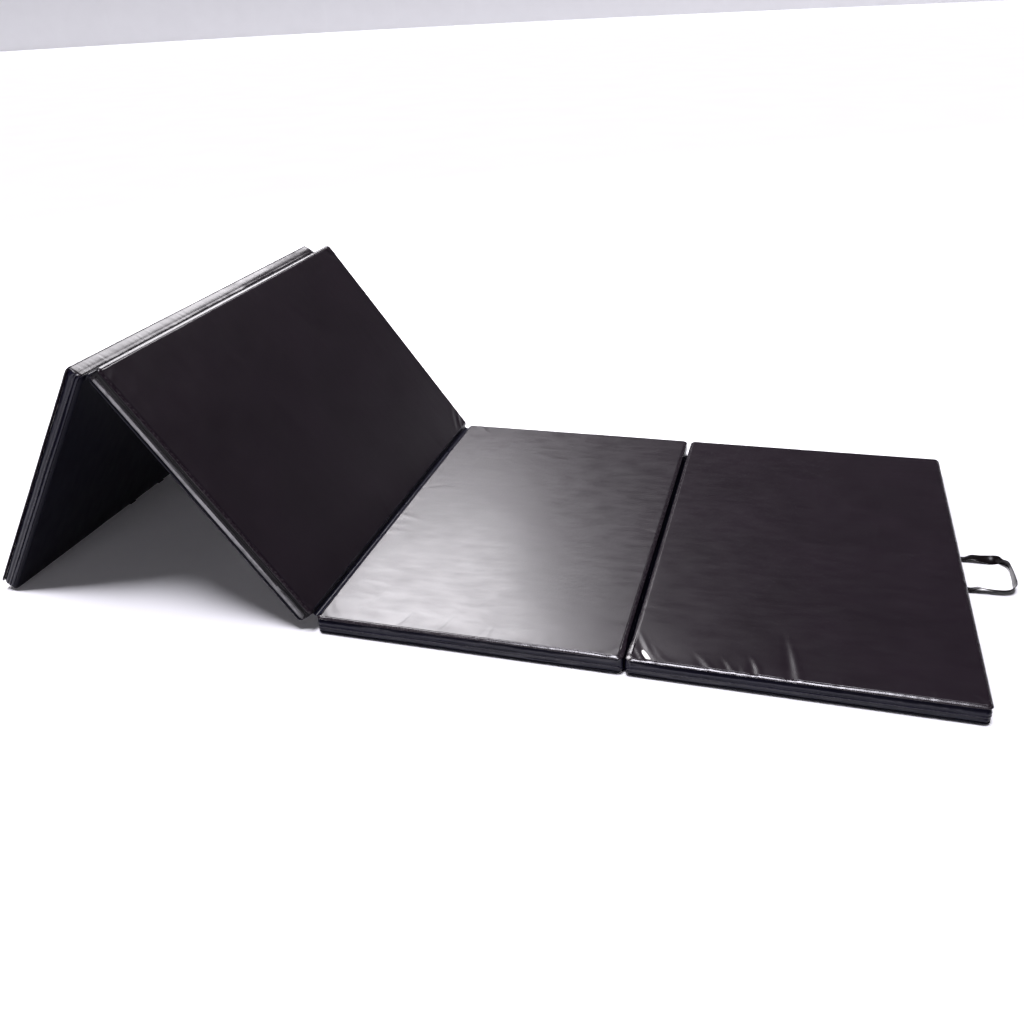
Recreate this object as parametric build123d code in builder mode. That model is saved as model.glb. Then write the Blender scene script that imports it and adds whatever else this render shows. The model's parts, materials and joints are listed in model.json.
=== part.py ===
from build123d import *
import math
import os

# Four-panel folding gym mat, in millimetres. Panels 1 and 2 lie flat, panels 3 and 4
# stand as a tent. +X runs along the mat towards the free end of panel 1, +Y across it,
# +Z up. The origin is the centre of panel 2's underside, on the floor.

# ---- driving dimensions ----
PANEL_LENGTH = 762.0
PANEL_WIDTH = 1219.2
PANEL_THICKNESS = 50.8
CORNER_RADIUS = 24.0
COVER = 1.0  # thickness of the cover sheets and bands
SEAM_HEIGHT = 22.0  # seam between the two side bands, above the underside

PANEL_3_SLOPE = 54.0  # degrees above the floor
BOTTOM_HINGE_WIDTH = 12.0  # panel 1 to 2 and panel 3 to 4, flat
TOP_HINGE_WIDTH = 8.0  # panel 2 to 3, flat
HINGE_THICKNESS = 1.2
HINGE_INSET = 24.0  # from the mat's long edges
FOLD_GAP = 0.3  # hinge axis to the face it joins, so that folded panels stack clear
CREASE = 0.5  # from the hinge axis to each half of the hinge strip

ZIP_LENGTH = 640.0
ZIP_TAPE_WIDTH = 13.0
CHAIN_WIDTH = 3.2
CHAIN_HEIGHT = 2.0
STOP_LENGTH = 5.0
STOP_WIDTH = 4.6
SLIDER_LENGTH = 13.0
SLIDER_WIDTH = 8.4
SLIDER_CLEARANCE = 0.3
SLIDER_WALL = 1.2
BRIDGE_RISE = 2.4  # clear height under the slider's bridge
BRIDGE_BAR = 1.2
PULL_LENGTH = 30.0
PULL_WIDTH = 6.6
PULL_THICKNESS = 1.4
PULL_PIN_RADIUS = 0.8
PULL_HEEL = 0.9  # arm behind the pin, short enough to clear the slider's plate as it flips

STRAP_WIDTH = 28.0
STRAP_THICKNESS = 2.0
STRAP_LEG_SPACING = 152.0
STRAP_REACH = 126.0  # from the swing axis to the end of the loop
STRAP_FLAT_LEG = 50.0
STRAP_START = 2.6  # from the swing axis
STRAP_BEND_RADIUS = 26.0
STRAP_LOWEST = 0.45  # above the floor
STRAP_EDGE_HEIGHT = 26.0
SWING_OUT = 1.5  # swing axis, outside the panel's end
SWING_UP = 5.0  # swing axis, above the panel's underside
NOTCH_WIDTH = 34.0
NOTCH_DEPTH = 6.0
NOTCH_HEIGHT = 9.0
TAB_WIDTH = 28.0
TAB_END = 0.9  # outside the panel's end

# ---- where each panel lies ----
slope_3 = math.radians(PANEL_3_SLOPE)
along_3 = Vector(-math.cos(slope_3), 0, math.sin(slope_3))
normal_3 = Vector(math.sin(slope_3), 0, math.cos(slope_3))
axis_12 = Vector(PANEL_LENGTH / 2 + BOTTOM_HINGE_WIDTH / 2, 0, -FOLD_GAP)
axis_23 = Vector(-PANEL_LENGTH / 2 - TOP_HINGE_WIDTH / 2, 0, PANEL_THICKNESS + FOLD_GAP)
foot_edge_3 = axis_23 + along_3 * (TOP_HINGE_WIDTH / 2) - normal_3 * (FOLD_GAP + PANEL_THICKNESS)
axis_34 = foot_edge_3 + along_3 * (PANEL_LENGTH + BOTTOM_HINGE_WIDTH / 2) - normal_3 * FOLD_GAP

# panel 4 comes down from the peak until its inner bottom edge touches the floor
reach_4 = PANEL_LENGTH + BOTTOM_HINGE_WIDTH / 2
slope_4 = math.asin(axis_34.Z / math.hypot(reach_4, FOLD_GAP)) + math.atan2(FOLD_GAP, reach_4)
along_4 = Vector(-math.cos(slope_4), 0, -math.sin(slope_4))
normal_4 = Vector(-math.sin(slope_4), 0, math.cos(slope_4))
head_edge_4 = axis_34 + along_4 * (BOTTOM_HINGE_WIDTH / 2) + normal_4 * FOLD_GAP
foot_edge_4 = head_edge_4 + along_4 * PANEL_LENGTH

# each panel's plane: on its underside, x towards panel 1's end, y across the mat
panels = {
    1: Plane(Vector(PANEL_LENGTH + BOTTOM_HINGE_WIDTH, 0, 0), x_dir=(1, 0, 0), z_dir=(0, 0, 1)),
    2: Plane(Vector(0, 0, 0), x_dir=(1, 0, 0), z_dir=(0, 0, 1)),
    3: Plane(foot_edge_3 + along_3 * (PANEL_LENGTH / 2), x_dir=-along_3, z_dir=normal_3),
    4: Plane(head_edge_4 + along_4 * (PANEL_LENGTH / 2), x_dir=-along_4, z_dir=normal_4),
}
# the end that carries a handle, as a direction along the panel's own x
handle_ends = {1: 1, 4: -1}
# the end where the closed zip's slider waits, the lower one on the sloping panels
slider_ends = {1: 1, 2: 1, 3: 1, 4: -1}

os.makedirs("parts", exist_ok=True)


def save(part, name):
    part.label = name
    export_step(part, f"parts/{name}.step")


def side_plane(plane, x, y, z):
    """A plane on the far long side: x along the panel, y up through its thickness, z outwards."""
    return Plane(plane.from_local_coords((x, y, z)), x_dir=-plane.x_dir, z_dir=plane.y_dir)


def notches(number, plane):
    """Outline of the room at the bottom of the end seam for the two ends of a handle."""
    middle = handle_ends[number] * (PANEL_LENGTH / 2 - NOTCH_DEPTH / 2)
    with BuildSketch(plane) as outline:
        with Locations((middle, STRAP_LEG_SPACING / 2), (middle, -STRAP_LEG_SPACING / 2)):
            Rectangle(NOTCH_DEPTH, NOTCH_WIDTH)
    return outline.sketch


def foam_core(number, plane):
    with BuildPart() as core:
        with BuildSketch(plane.offset(COVER)):
            RectangleRounded(
                PANEL_LENGTH - 2 * COVER, PANEL_WIDTH - 2 * COVER, CORNER_RADIUS - COVER
            )
        extrude(amount=PANEL_THICKNESS - 2 * COVER)
        if number in handle_ends:
            extrude(notches(number, plane), amount=NOTCH_HEIGHT, mode=Mode.SUBTRACT)
    save(core.part, f"panel_{number}_foam_core")


def cover_sheet(number, plane, side, height):
    with BuildPart() as sheet:
        with BuildSketch(plane.offset(height)):
            RectangleRounded(PANEL_LENGTH, PANEL_WIDTH, CORNER_RADIUS)
        extrude(amount=COVER)
        if number in handle_ends and side == "bottom":
            extrude(notches(number, plane), amount=NOTCH_HEIGHT, mode=Mode.SUBTRACT)
    save(sheet.part, f"panel_{number}_{side}_sheet")


def side_band(number, plane, side, low, high):
    with BuildPart() as band:
        with BuildSketch(plane.offset(low)):
            RectangleRounded(PANEL_LENGTH, PANEL_WIDTH, CORNER_RADIUS)
            RectangleRounded(
                PANEL_LENGTH - 2 * COVER,
                PANEL_WIDTH - 2 * COVER,
                CORNER_RADIUS - COVER,
                mode=Mode.SUBTRACT,
            )
        extrude(amount=high - low)
        with BuildSketch(side_plane(plane, 0, PANEL_WIDTH / 2 - COVER, SEAM_HEIGHT)):
            Rectangle(ZIP_LENGTH, 2 * ZIP_TAPE_WIDTH)
        extrude(amount=COVER, mode=Mode.SUBTRACT)
        if number in handle_ends and side == "lower":
            extrude(notches(number, plane), amount=NOTCH_HEIGHT, mode=Mode.SUBTRACT)
    save(band.part, f"panel_{number}_{side}_side_band")


def zip_tape(number, plane):
    """Two woven tapes in the side opening, with the chain's slot between them."""
    middle = (CHAIN_WIDTH / 2 + ZIP_TAPE_WIDTH) / 2
    with BuildPart() as tape:
        with BuildSketch(side_plane(plane, 0, PANEL_WIDTH / 2 - COVER, SEAM_HEIGHT)):
            with Locations((0, middle), (0, -middle)):
                Rectangle(ZIP_LENGTH, ZIP_TAPE_WIDTH - CHAIN_WIDTH / 2)
        extrude(amount=COVER)
    save(tape.part, f"panel_{number}_zip_tape")


def zip_chain(number, plane):
    """The closed row of teeth, with a stop at each end."""
    stop_middle = ZIP_LENGTH / 2 - STOP_LENGTH / 2
    with BuildPart() as chain:
        with BuildSketch(side_plane(plane, 0, PANEL_WIDTH / 2 - COVER, SEAM_HEIGHT)):
            Rectangle(ZIP_LENGTH, CHAIN_WIDTH)
        extrude(amount=CHAIN_HEIGHT)
        with BuildSketch(side_plane(plane, 0, PANEL_WIDTH / 2, SEAM_HEIGHT)):
            with Locations((stop_middle, 0), (-stop_middle, 0)):
                Rectangle(STOP_LENGTH, STOP_WIDTH)
        extrude(amount=CHAIN_HEIGHT - COVER / 2)
    save(chain.part, f"panel_{number}_zip_chain")


def slider_x(number):
    """Where the closed slider stands along the panel."""
    at_stop = ZIP_LENGTH / 2 - STOP_LENGTH - SLIDER_CLEARANCE - SLIDER_LENGTH / 2
    return slider_ends[number] * at_stop


plate_height = PANEL_WIDTH / 2 - COVER + CHAIN_HEIGHT + SLIDER_CLEARANCE
bridge_height = plate_height + SLIDER_WALL + BRIDGE_RISE
pin_height = plate_height + SLIDER_WALL + BRIDGE_RISE / 2


def zip_slider(number, plane):
    """A channel over the chain, with a bridge that holds the pull."""
    x = slider_x(number)
    flange = (SLIDER_WIDTH - CHAIN_WIDTH) / 2 - SLIDER_CLEARANCE
    flange_middle = SLIDER_WIDTH / 2 - flange / 2
    post_middle = SLIDER_LENGTH / 2 - 2 * SLIDER_WALL
    with BuildPart() as slider:
        with BuildSketch(side_plane(plane, x, plate_height, SEAM_HEIGHT)):
            RectangleRounded(SLIDER_LENGTH, SLIDER_WIDTH, 2 * SLIDER_WALL)
        extrude(amount=SLIDER_WALL)
        with BuildSketch(side_plane(plane, x, PANEL_WIDTH / 2 + SLIDER_CLEARANCE, SEAM_HEIGHT)):
            with Locations((0, flange_middle), (0, -flange_middle)):
                Rectangle(SLIDER_LENGTH - 4 * SLIDER_WALL, flange)
        extrude(amount=CHAIN_HEIGHT - COVER)
        with BuildSketch(side_plane(plane, x, plate_height + SLIDER_WALL, SEAM_HEIGHT)):
            with Locations((post_middle, 0), (-post_middle, 0)):
                Rectangle(SLIDER_WALL, 2 * BRIDGE_BAR)
        extrude(amount=BRIDGE_RISE)
        with BuildSketch(side_plane(plane, x, bridge_height, SEAM_HEIGHT)):
            Rectangle(2 * post_middle + SLIDER_WALL, 2 * BRIDGE_BAR)
        extrude(amount=BRIDGE_BAR)
    save(slider.part, f"panel_{number}_zip_slider")


def zip_pull(number, plane):
    """A tab with an eye round the bridge, lying along the tape towards the panel's end."""
    x = slider_x(number)
    arm_length = SLIDER_LENGTH / 2 + SLIDER_WALL
    arm = (PULL_WIDTH - 2 * BRIDGE_BAR) / 2 - SLIDER_CLEARANCE
    arm_middle = PULL_WIDTH / 2 - arm / 2
    tab_length = PULL_LENGTH - arm_length
    tab_corner = 1.5 * SLIDER_WALL
    arm_centre = (arm_length + tab_corner - PULL_HEEL) / 2
    face = side_plane(plane, x, pin_height - PULL_THICKNESS / 2, SEAM_HEIGHT)
    along = -slider_ends[number]  # the side plane's x runs against the panel's
    with BuildPart() as pull:
        with BuildSketch(face):
            with Locations((along * (arm_length + tab_length / 2), 0)):
                RectangleRounded(tab_length, PULL_WIDTH, tab_corner)
                Circle(SLIDER_WALL, mode=Mode.SUBTRACT)
            with Locations((along * arm_centre, arm_middle), (along * arm_centre, -arm_middle)):
                Rectangle(arm_length + tab_corner + PULL_HEEL, arm)
        extrude(amount=PULL_THICKNESS)
        pin_start = plane.from_local_coords((x, pin_height, SEAM_HEIGHT - PULL_WIDTH / 2))
        with BuildSketch(Plane(pin_start, x_dir=plane.x_dir, z_dir=plane.z_dir)):
            Circle(PULL_PIN_RADIUS)
        extrude(amount=PULL_WIDTH)
    save(pull.part, f"panel_{number}_zip_pull")


def hinge_half(name, plane, end, height, width):
    """Half of the fabric strip that joins two panels, from a panel's end to the crease."""
    length = width / 2 - CREASE
    with BuildPart() as half:
        with BuildSketch(plane.offset(height)):
            with Locations((end * (PANEL_LENGTH / 2 + length / 2), 0)):
                Rectangle(length, PANEL_WIDTH - 2 * HINGE_INSET)
        extrude(amount=HINGE_THICKNESS)
    save(half.part, name)


def swing_axis(number):
    """The point in the middle of a handle's swing axis."""
    end = handle_ends[number]
    return panels[number].from_local_coords((end * (PANEL_LENGTH / 2 + SWING_OUT), 0, SWING_UP))


def anchor_tabs(number, plane):
    """The two sewn-in ends of a handle, inside the notches."""
    end = handle_ends[number]
    length = NOTCH_DEPTH + TAB_END
    middle = end * (PANEL_LENGTH / 2 - NOTCH_DEPTH + length / 2)
    with BuildPart() as tabs:
        with BuildSketch(plane.offset(SWING_UP - STRAP_THICKNESS / 2)):
            with Locations((middle, STRAP_LEG_SPACING / 2), (middle, -STRAP_LEG_SPACING / 2)):
                Rectangle(length, TAB_WIDTH)
        extrude(amount=STRAP_THICKNESS)
    save(tabs.part, f"handle_{number}_anchor_tabs")


def handle_strap(number):
    """A loop of flat strap: two flat legs, then the strap stands on edge round the end."""
    axis = swing_axis(number)
    out = 1 if number == 1 else -1
    level = Plane(axis, x_dir=(out, 0, 0), z_dir=(0, 0, 1))
    leg_y = STRAP_LEG_SPACING / 2
    end_x = STRAP_REACH - STRAP_THICKNESS / 2
    with BuildPart() as strap:
        with BuildSketch(level.offset(-STRAP_THICKNESS / 2)):
            leg_middle = (STRAP_START + STRAP_FLAT_LEG) / 2
            with Locations((leg_middle, leg_y), (leg_middle, -leg_y)):
                Rectangle(STRAP_FLAT_LEG - STRAP_START, STRAP_WIDTH)
        extrude(amount=STRAP_THICKNESS)
        with BuildSketch(level.offset(STRAP_LOWEST - axis.Z)):
            with BuildLine():
                FilletPolyline(
                    (STRAP_FLAT_LEG - STRAP_THICKNESS, leg_y),
                    (end_x, leg_y),
                    (end_x, -leg_y),
                    (STRAP_FLAT_LEG - STRAP_THICKNESS, -leg_y),
                    radius=STRAP_BEND_RADIUS,
                )
                offset(amount=STRAP_THICKNESS / 2, side=Side.BOTH)
            make_face()
        extrude(amount=STRAP_EDGE_HEIGHT)
    save(strap.part, f"handle_{number}_strap")


for number, plane in panels.items():
    foam_core(number, plane)
    cover_sheet(number, plane, "top", PANEL_THICKNESS - COVER)
    cover_sheet(number, plane, "bottom", 0)
    side_band(number, plane, "lower", COVER, SEAM_HEIGHT)
    side_band(number, plane, "upper", SEAM_HEIGHT, PANEL_THICKNESS - COVER)
    zip_tape(number, plane)
    zip_chain(number, plane)
    zip_slider(number, plane)
    zip_pull(number, plane)

top_strip = PANEL_THICKNESS - HINGE_THICKNESS
hinge_half("hinge_12_half_on_panel_1", panels[1], -1, 0, BOTTOM_HINGE_WIDTH)
hinge_half("hinge_12_half_on_panel_2", panels[2], 1, 0, BOTTOM_HINGE_WIDTH)
hinge_half("hinge_23_half_on_panel_2", panels[2], -1, top_strip, TOP_HINGE_WIDTH)
hinge_half("hinge_23_half_on_panel_3", panels[3], 1, top_strip, TOP_HINGE_WIDTH)
hinge_half("hinge_34_half_on_panel_3", panels[3], -1, 0, BOTTOM_HINGE_WIDTH)
hinge_half("hinge_34_half_on_panel_4", panels[4], 1, 0, BOTTOM_HINGE_WIDTH)

for number in handle_ends:
    anchor_tabs(number, panels[number])
    handle_strap(number)
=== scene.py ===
import json
import math

import bpy
import numpy as np
from mathutils import Matrix, Vector


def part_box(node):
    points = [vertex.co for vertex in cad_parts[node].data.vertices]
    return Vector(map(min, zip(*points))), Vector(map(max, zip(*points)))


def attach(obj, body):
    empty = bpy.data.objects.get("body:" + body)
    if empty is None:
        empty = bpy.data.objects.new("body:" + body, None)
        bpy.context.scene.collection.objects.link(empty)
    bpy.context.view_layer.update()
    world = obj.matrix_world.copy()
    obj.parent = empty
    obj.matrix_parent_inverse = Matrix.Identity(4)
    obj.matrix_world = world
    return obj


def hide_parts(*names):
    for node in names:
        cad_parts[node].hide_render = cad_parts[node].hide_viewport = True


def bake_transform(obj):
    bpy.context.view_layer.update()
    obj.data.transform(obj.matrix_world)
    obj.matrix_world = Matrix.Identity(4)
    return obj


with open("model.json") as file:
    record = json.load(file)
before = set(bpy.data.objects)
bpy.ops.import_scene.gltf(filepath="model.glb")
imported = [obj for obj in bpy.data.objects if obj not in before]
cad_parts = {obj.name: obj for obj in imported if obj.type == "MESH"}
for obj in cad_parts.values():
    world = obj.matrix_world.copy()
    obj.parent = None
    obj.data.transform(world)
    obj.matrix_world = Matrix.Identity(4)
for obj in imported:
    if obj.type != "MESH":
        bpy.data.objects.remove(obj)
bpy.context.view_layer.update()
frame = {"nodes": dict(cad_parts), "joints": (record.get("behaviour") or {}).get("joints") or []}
scene = bpy.context.scene
MM = 0.001

# ---- sizes, in millimetres
top_low, top_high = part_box("panel_2_top_sheet")
LENGTH = (top_high.x - top_low.x) / MM
WIDTH = (top_high.y - top_low.y) / MM
THICKNESS = top_high.z / MM
CORNER = 14.0
ROLL = 9.0  # how far the rolled edges reach in from the sides
TOP_DROP = 1.3  # how much lower the top is along its edges
SEAM_TOP = 42.6  # groove between the top cover and the upper band
SEAM_BOTTOM = 8.6
STITCH_LINE = 24.6  # stitches of the lapped seam between the bands
LAP_STRAY = 1.3  # how much more than the others that seam wanders
PLAIN_SPLIT = 10.6  # where the bands meet on a hinged end
HALF_L, HALF_W = LENGTH / 2, WIDTH / 2
PERIMETER = 2 * (LENGTH + WIDTH) - (8 - 2 * math.pi) * CORNER
ZIP_HALF = 320.0  # half the length of the opening
ZIP_MIDDLE = 22.0  # height of the teeth
ZIP_TAPE = 13.0  # how far each tape reaches from the teeth
HINGE_INSET = 16.0  # from the mat's long edges to the ends of a hinge strip

joints = {j["name"]: j for j in frame["joints"]}
slope_3 = -joints["panel_3_fold"]["range_deg"][0]
slope_4 = -joints["panel_4_fold"]["range_deg"][0] - slope_3
TILTS = {1: 0.0, 2: 0.0, 3: slope_3, 4: -slope_4}


def panel_matrix(number):
    """From a panel's own millimetres (x along, y across, z up from its underside) to the frame."""
    low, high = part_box(f"panel_{number}_foam_core")
    turn = Matrix.Rotation(math.radians(TILTS[number]), 4, "Y")
    lift = Matrix.Translation((0, 0, -THICKNESS * MM / 2))
    return Matrix.Translation((low + high) / 2) @ turn @ lift @ Matrix.Scale(MM, 4)


placements = {n: panel_matrix(n) for n in TILTS}


def placed(number, points):
    """Points in a panel's own millimetres, as points in the frame."""
    m = np.array(placements[number], float)
    return points @ m[:3, :3].T + m[:3, 3]


# ---- random fields
def lattice(x, y, seed, wrap=None):
    """Smooth random heights between -1 and 1, with one random value per whole number."""
    table = np.random.default_rng(seed).uniform(-1, 1, (256, 256))
    xi, yi = np.floor(x).astype(int), np.floor(y).astype(int)
    fx, fy = x - xi, y - yi
    fx, fy = fx * fx * (3 - 2 * fx), fy * fy * (3 - 2 * fy)
    period = wrap or 256
    x0, x1 = (xi % period) % 256, ((xi + 1) % period) % 256
    y0, y1 = yi % 256, (yi + 1) % 256
    low = table[x0, y0] * (1 - fx) + table[x1, y0] * fx
    high = table[x0, y1] * (1 - fx) + table[x1, y1] * fx
    return low * (1 - fy) + high * fy


def step_up(x, low, high):
    """A smooth step from 0 at low to 1 at high."""
    t = np.clip((x - low) / (high - low), 0, 1)
    return t * t * (3 - 2 * t)


TOP_SEAM, BOTTOM_SEAM, LAP_SEAM = 1, 3, 5


def seam_wander(s, number, seam):
    """How far a panel's sewn line strays up or down, at a distance s round the panel."""
    seed = 7 * number + seam
    slow = lattice(s / PERIMETER * 37, 0 * s + 0.5, seed, 37)
    quick = lattice(s / PERIMETER * 190, 0 * s + 0.5, seed + 1, 190)
    return 0.65 * slow + 0.3 * quick


PUCKER_SPACING = 20.0
PUCKER_REACH = 130.0


def pucker_field(along, away, length, seed):
    """Small gathers that start at a seam and fade into the cover."""
    rng = np.random.default_rng(seed)
    count = int(length / PUCKER_SPACING)
    height = np.zeros_like(along)
    near = away < PUCKER_REACH
    a, e = along[near], away[near]
    total = np.zeros_like(a)
    for _ in range(count):
        middle = rng.uniform(-length / 2, length / 2)
        reach = rng.gamma(2.0, 9.0) + 8
        width = rng.uniform(2.6, 6.0) + reach * 0.06
        slant = rng.normal(0, 0.35)
        size = rng.normal(0, 0.34) * min(1.0, 14 / width)
        across = (a - middle - slant * e) / (width * (1 + e / (2.5 * reach)))
        total += size * np.exp(-(across**2)) * np.exp(-((np.maximum(e, 0) / reach) ** 1.4))
    height[near] = total
    return height


def fold(u, v, start, end, width, height, bend=0.0):
    """A soft fold from start to end: it climbs to a crest on its right and drops away beyond it."""
    p, q = np.array(start, float), np.array(end, float)
    d = q - p
    size = np.hypot(*d)
    d /= size
    t = ((u - p[0]) * d[0] + (v - p[1]) * d[1]) / size
    x = (u - p[0]) * -d[1] + (v - p[1]) * d[0] - bend * 4 * t * (1 - t)
    w = width * (0.5 + 0.5 * np.clip(t, 0, 1.3))
    ends = step_up(t, -0.3, 0.7) * (1 - step_up(t, 0.95, 1.4))
    x = x / w
    return height * ends * x * np.exp(-((x / np.where(x < 0, 1.15, 0.8)) ** 2))


# creases in each panel's own millimetres: start, end, half width, height, sideways bend
creases = {
    1: [
        ((-368, -506), (-318, -603), 13, 2.3, -3), ((-375, -556), (-350, -603), 7, 1.5, 2),
        ((-396, -576), (-372, -604), 9, 1.8, 0), ((-332, -545), (-300, -602), 14, 1.4, -2),
        ((-234, -555), (-200, -606), 13, 1.6, 2), ((-172, -562), (-150, -606), 10, 1.9, 2),
        ((-112, -545), (-94, -608), 12, 3.0, 3), ((-134, -575), (-124, -606), 6, 0.9, 0),
        ((-36, -455), (-12, -606), 16, 3.5, 2), ((78, -575), (82, -608), 8, 0.9, 0),
        ((262, -570), (270, -608), 11, 0.8, 0), ((340, -570), (372, -600), 10, 1.2, 3),
        ((-384, 560), (-350, 600), 14, 1.4, 4),
    ],
    2: [
        ((-386, -556), (-346, -602), 17, 3.0, -5), ((-372, -520), (-322, -596), 20, 1.4, -6),
        ((-150, -540), (-166, -606), 13, 1.4, 2), ((-46, -530), (-64, -606), 14, 1.4, 2),
        ((56, -555), (50, -606), 12, 1.0, 0), ((-330, -424), (-270, -436), 14, 0.8, 2),
        ((-326, -486), (-270, -500), 15, 0.9, 2), ((384, -560), (350, -604), 14, 2.2, 4),
        ((-300, 560), (-330, 604), 14, 1.4, 0),
    ],
    3: [
        ((-384, -560), (-345, -604), 13, 2.2, 4), ((-384, 560), (-340, 604), 13, 2.2, -4),
        ((384, 550), (330, 606), 15, 2.4, 5), ((384, 500), (300, 600), 18, 1.4, 5),
        ((-376, -500), (-300, -560), 20, 1.2, 6), ((384, -570), (350, -606), 12, 1.6, 4),
        ((-120, -200), (40, -170), 40, 0.8, 10), ((-300, 180), (-180, 260), 34, 0.8, -8),
    ],
    4: [
        ((384, -560), (345, -602), 12, 2.0, 0), ((-384, -560), (-340, -602), 12, 1.8, 0),
        ((384, 560), (345, 602), 12, 1.6, 0),
    ],
}
# where a cover sags between its folds: middle, reach and depth
sags = {
    1: [((-345, -570), (80, 60), 2.6), ((-120, -590), (190, 60), 1.2)],
    2: [((-340, -565), (90, 60), 1.2), ((-60, -590), (200, 60), 0.7)],
    3: [((-350, -570), (90, 70), 0.9)],
    4: [],
}


def cover_height(number, side, u, v, flat_l, flat_w):
    """How far a cover stands above its mean level, at a point of the flattened cover."""
    seed = 100 * number + (50 if side == "bottom" else 0)
    away_u, away_v = flat_l - np.abs(u), flat_w - np.abs(v)
    height = 0.28 * lattice(u / 170 + 9, v / 150 + 9, seed)
    height += 0.10 * lattice(u / 61 + 9, v / 55 + 9, seed + 1)
    height += 0.016 * lattice(u / 120 + 9, v / 13 + 99, seed + 2)
    scale = 1.0 if side == "top" else 0.6
    # the near, far, left and right seam; points on the other side count as far away
    seams = [
        (u, v < 0, away_v, flat_l, flat_w), (u, v >= 0, away_v, flat_l, flat_w),
        (v, u < 0, away_u, flat_w, flat_l), (v, u >= 0, away_u, flat_w, flat_l),
    ]
    for row, (along, same_side, away, half_length, half_width) in enumerate(seams, 3):
        away = np.where(same_side, away, 2 * half_width)
        height += scale * pucker_field(along, away, 2 * half_length, seed + row)
    # gathers that run out from each rounded corner
    cu, cv = np.abs(u) - (HALF_L - CORNER), np.abs(v) - (HALF_W - CORNER)
    radius, angle = np.hypot(cu, cv), np.arctan2(cv, cu)
    quadrant = 2.0 * (u > 0) + 1.0 * (v > 0)
    right_angle = math.pi / 2
    in_corner = step_up(angle, -0.35, 0.1) * (1 - step_up(angle, right_angle - 0.1, right_angle + 0.35))
    folds = np.sin(angle * 9.5 + 1.7 * quadrant + number) + 0.6 * np.sin(angle * 15 + 2.9 * quadrant)
    height += scale * 0.4 * in_corner * folds * step_up(radius, -4, 34) * (radius < 70)
    if side == "top":
        for (mu, mv), (ru, rv), depth in sags[number]:
            height -= depth * np.exp(-(((u - mu) / ru) ** 2) - ((v - mv) / rv) ** 2)
        for start, end, width, size, bend in creases[number]:
            height += fold(u, v, start, end, width, size, bend)
    return height


# ---- mesh helpers
def rows_of(*columns):
    """One row for each place in these equally long arrays."""
    return np.stack(columns, axis=1)


def mesh_piece(name, points, faces, corner_uv, material, wear_and_sheen=None):
    """A smooth-shaded mesh in the frame's metres. corner_uv follows the faces' corners."""
    mesh = bpy.data.meshes.new(name)
    mesh.from_pydata(points.tolist(), [], faces if isinstance(faces, list) else faces.tolist())
    layer = mesh.uv_layers.new(name="UVMap")
    layer.data.foreach_set("uv", np.asarray(corner_uv, np.float32).ravel())
    mesh.polygons.foreach_set("use_smooth", np.ones(len(mesh.polygons), bool))
    if wear_and_sheen is not None:
        attribute = mesh.attributes.new("wear_and_sheen", "FLOAT", "POINT")
        attribute.data.foreach_set("value", np.asarray(wear_and_sheen, np.float32))
    mesh.materials.append(material)
    mesh.update()
    piece = bpy.data.objects.new(name, mesh)
    scene.collection.objects.link(piece)
    return piece


def graded(half, fine, coarse):
    """Positions from -half to half, close together near both ends."""
    steps = [fine]
    while sum(steps) < half:
        steps.append(min(coarse, steps[-1] * 1.22))
    edge = half * (1 - np.concatenate([[0], np.cumsum(steps)]) / sum(steps))
    return np.concatenate([-edge, edge[::-1][1:]])


def rim_indices(nu, nv):
    """A grid's outermost vertices, counterclockwise from its near left corner."""
    near = [i * nv for i in range(nu)]
    right = [(nu - 1) * nv + j for j in range(1, nv)]
    far = [i * nv + nv - 1 for i in range(nu - 2, -1, -1)]
    left = [j for j in range(nv - 2, 0, -1)]
    return np.array(near + right + far + left)


def round_corners(u, v, corner):
    """Moves a rectangle's grid so that its corners become quarter circles."""
    a = np.clip((np.abs(u) - (np.abs(u).max() - corner)) / corner, 0, None)
    b = np.clip((np.abs(v) - (np.abs(v).max() - corner)) / corner, 0, None)
    inner_u, inner_v = np.abs(u).max() - corner, np.abs(v).max() - corner
    both = (a > 0) & (b > 0)
    new_u = np.where(both, np.sign(u) * (inner_u + corner * a * np.sqrt(1 - b * b / 2)), u)
    new_v = np.where(both, np.sign(v) * (inner_v + corner * b * np.sqrt(1 - a * a / 2)), v)
    return new_u, new_v


def outward(u, v):
    """Unit directions out of the panel, for points on its rim."""
    cu, cv = np.abs(u) - (HALF_L - CORNER), np.abs(v) - (HALF_W - CORNER)
    nu = np.where((cu > 0) & (cv > 0), cu, np.where(cu > cv, 1.0, 0.0)) * np.sign(u)
    nv = np.where((cu > 0) & (cv > 0), cv, np.where(cu > cv, 0.0, 1.0)) * np.sign(v)
    size = np.hypot(nu, nv)
    return nu / size, nv / size


def grid_faces(rows, columns):
    """Quads of a grid of vertices that are numbered row by row."""
    a = (np.arange(rows - 1)[:, None] * columns + np.arange(columns - 1)).ravel()
    return rows_of(a, a + columns, a + columns + 1, a + 1)


def bridge_faces(one, other):
    """Quads between two closed loops of vertices."""
    return rows_of(one, other, np.roll(other, -1), np.roll(one, -1))


def ring_faces(first, count, rows):
    """Quads between rings of vertices; ring r starts at first + r * count."""
    rings = first + count * np.arange(rows)[:, None] + np.arange(count)
    return np.concatenate([bridge_faces(a, b) for a, b in zip(rings, rings[1:])])


def rounded_grid(inset, fine, coarse, corner):
    """A grid that ends this far inside a panel's sides: its points, rim vertices and quads."""
    us, vs = graded(HALF_L - inset, fine, coarse), graded(HALF_W - inset, fine, coarse)
    u, v = np.meshgrid(us, vs, indexing="ij")
    u, v = round_corners(u.ravel(), v.ravel(), corner)
    size = len(us), len(vs)
    return u, v, rim_indices(*size), grid_faces(*size)


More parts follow.
